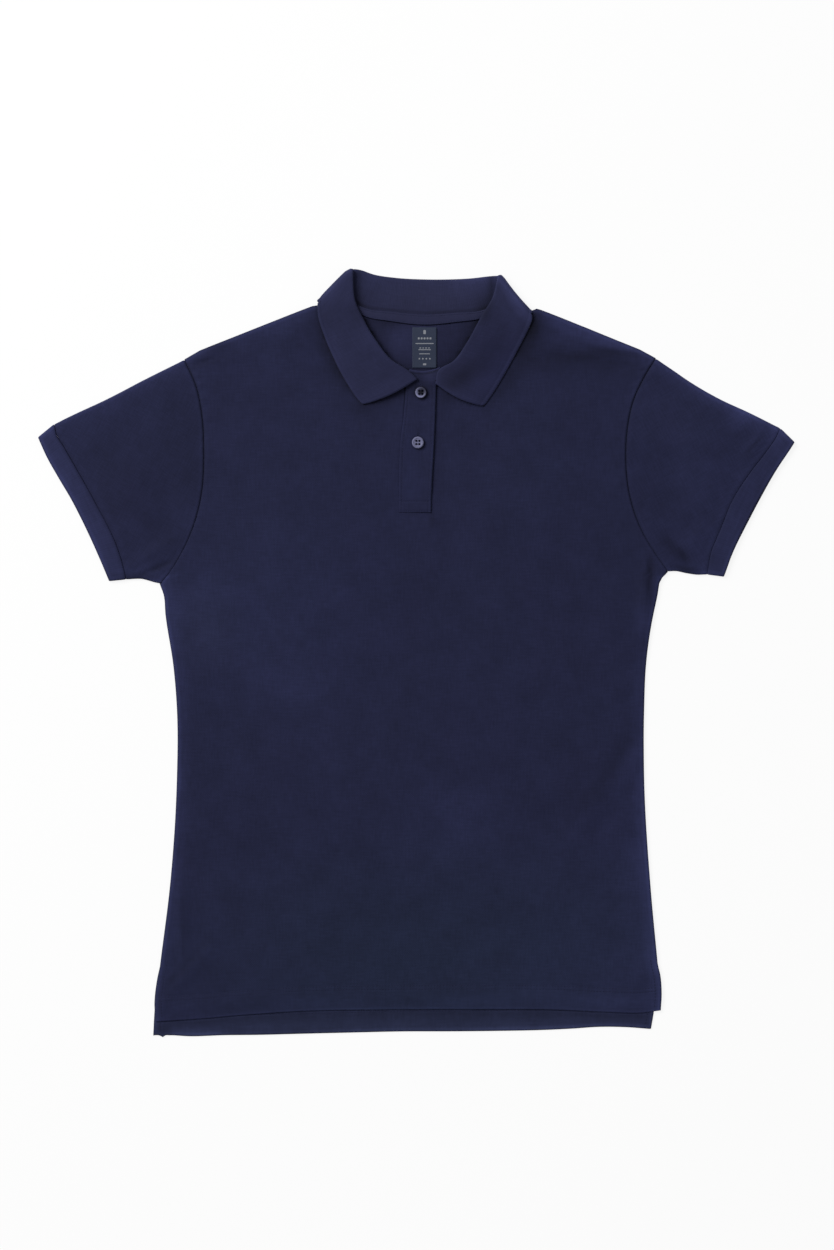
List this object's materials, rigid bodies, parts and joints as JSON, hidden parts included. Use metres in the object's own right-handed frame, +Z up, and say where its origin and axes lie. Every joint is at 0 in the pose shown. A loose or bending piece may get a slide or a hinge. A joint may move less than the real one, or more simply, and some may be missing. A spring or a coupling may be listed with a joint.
{
  "type": "polo shirt",
  "caption": "Short-sleeved knit polo shirt laid flat, with a turned-down collar, buttoned half placket, rib cuffs, side vents and a longer back hem.",
  "frame": {"origin": "on the surface the shirt lies on, under the middle of its outline", "axes": "+X to the viewer's right across the chest, +Y from the hem to the collar, +Z up from the surface, out of the shirt's front"},
  "size_m": [0.6498, 0.6592, 0.0092],
  "materials": {
    "pique_knit": "matte navy pique cotton knit",
    "rib_knit": "matte navy flat and rib knit",
    "tape": "navy herringbone tape",
    "label": "smooth dark slate satin",
    "button": "glossy blue-grey moulded resin"
  },
  "bodies": {
    "root": {"back": "pique_knit", "front": "pique_knit", "sleeve_left": "pique_knit", "sleeve_right": "pique_knit", "cuff_left": "rib_knit", "cuff_right": "rib_knit", "collar": "rib_knit", "neck_tape": "tape", "label": "label", "placket_under": "pique_knit", "placket_upper": "pique_knit", "button_1": "button", "button_2": "button"}
  },
  "joints": []
}
